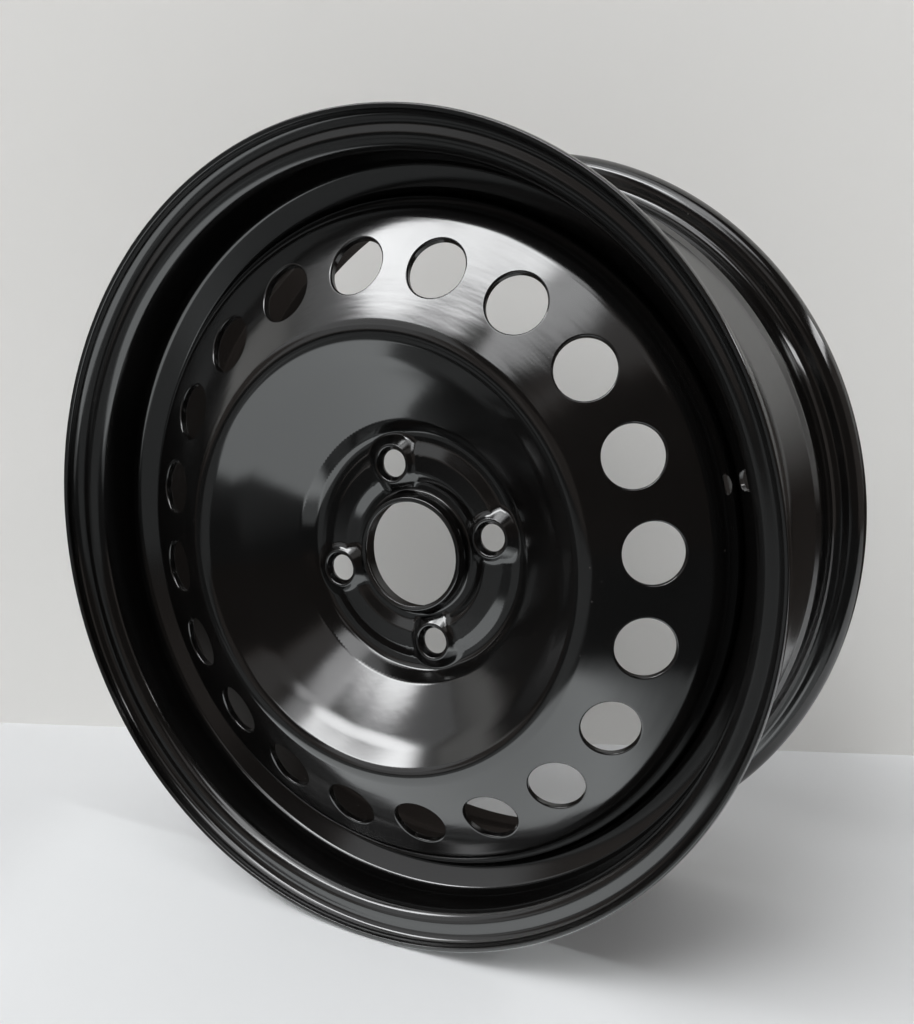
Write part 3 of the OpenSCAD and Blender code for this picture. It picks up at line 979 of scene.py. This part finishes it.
# Azimuth, 0 straight in front of the wheel and growing to the right, and elevation, in degrees
az = t.math("MULTIPLY", t.math("ARCTAN2", x, t.math("MULTIPLY", y, -1.0)), 180 / math.pi)
el = t.math("MULTIPLY", t.math("ARCSINE", z), 180 / math.pi)
# The lower edge of the main lamp rises from the left
lean = t.math("MULTIPLY_ADD", t.math("MAXIMUM", t.math("SUBTRACT", -25.0, az), 0.0), 0.22, el)
# Each panel: azimuth from and to and its soft edge, elevation from and to and its soft edge, level
panels = [
    t.patch(az, -60, -4, 8, lean, 47.5, 53, 2, 8.0),
    t.patch(az, -66, 12, 10, lean, 49, 57, 3, 2.0),
    t.patch(az, -6, 9, 5, el, 41, 45, 2.5, 3.0),
    t.patch(az, 14, 30, 8, el, 32, 42, 4, 0.3),
    t.patch(az, -69, -22, 6, el, 20, 44, 5, 0.6),
    t.patch(az, -32, 4, 6, el, 60, 64, 3, 3.0),
    t.patch(az, -95, 45, 20, el, 60, 91, 5, 0.9),
    t.patch(az, 15, 55, 10, el, 58, 72, 5, 1.4),
    t.patch(az, -95, -18, 10, el, 0, 13, 5, 0.12),
    t.patch(az, -43, -30, 5, el, 3, 17, 5, 0.35),
    t.patch(az, -15, 12, 8, el, 0, 17, 6, 0.10),
    t.patch(az, 75, 130, 10, el, 0, 30, 8, 0.15),
]
level = t.total(panels)
room = t.new("ShaderNodeBackground")
t.put(room.inputs["Color"], t.mix(t.ramp(level, 0.0, 0.5), (*WARM, 1), (*WHITE, 1)))
t.put(room.inputs["Strength"], t.math("ADD", level, 0.045))
pale_sky = t.new("ShaderNodeBackground")
pale_sky.inputs["Color"].default_value = (0.80, 0.81, 0.82, 1)
pick = t.new("ShaderNodeMixShader")
t.links.new(t.new("ShaderNodeLightPath").outputs["Is Camera Ray"], pick.inputs[0])
t.links.new(room.outputs[0], pick.inputs[1])
t.links.new(pale_sky.outputs[0], pick.inputs[2])
t.links.new(pick.outputs[0], t.new("ShaderNodeOutputWorld").inputs[0])


def softbox(name, az, el, dist, width, height, radiance, mirrored=True):
    """A rectangle that faces the wheel from azimuth az and elevation el."""
    d = Vector((sind(az) * cosd(el), -cosd(az) * cosd(el), sind(el)))
    lamp = bpy.data.lights.new(name, "AREA")
    lamp.shape = "RECTANGLE"
    lamp.size = width
    lamp.size_y = height
    lamp.energy = radiance * math.pi * width * height
    ob = bpy.data.objects.new(name, lamp)
    bpy.context.scene.collection.objects.link(ob)
    ob.location = d * dist
    ob.rotation_mode = "QUATERNION"
    ob.rotation_quaternion = (-d).to_track_quat("-Z", "Y")
    ob.visible_camera = False
    ob.visible_glossy = mirrored


softbox("key", 0, 42, 2.4, 1.1, 1.1, 4.4, mirrored=False)
softbox("key_left", -60, 38, 2.4, 1.1, 1.1, 0.6, mirrored=False)
softbox("strip_right", 100, 39, 1.3, 1.0, 0.14, 5.0)

# Camera, at the photograph's viewing angle. Image size, focal length and principal point are in pixels
IMAGE_W, IMAGE_H = 914, 1024
FOCAL, CENTRE_X, CENTRE_Y = 1161.118, 487.660, 698.113
SENSOR = 36
cam_data = bpy.data.cameras.new("camera")
cam = bpy.data.objects.new("camera", cam_data)
bpy.context.scene.collection.objects.link(cam)
cam.matrix_world = Matrix((
    (0.88367367, -0.1736186, 0.43471534, 0.355402),
    (0.46686544, 0.25938922, -0.84543119, -0.594911),
    (0.03402211, 0.95003885, 0.31027195, 0.134599),
    (0, 0, 0, 1),
))
cam_data.sensor_fit = "AUTO"
cam_data.sensor_width = SENSOR
cam_data.lens = SENSOR * FOCAL / IMAGE_H
cam_data.shift_x = (IMAGE_W / 2 - CENTRE_X) / IMAGE_H
cam_data.shift_y = (CENTRE_Y - IMAGE_H / 2) / IMAGE_H
cam_data.clip_start = 0.01
cam_data.clip_end = 50
bpy.context.scene.camera = cam
bpy.context.scene.view_settings.view_transform = "Standard"
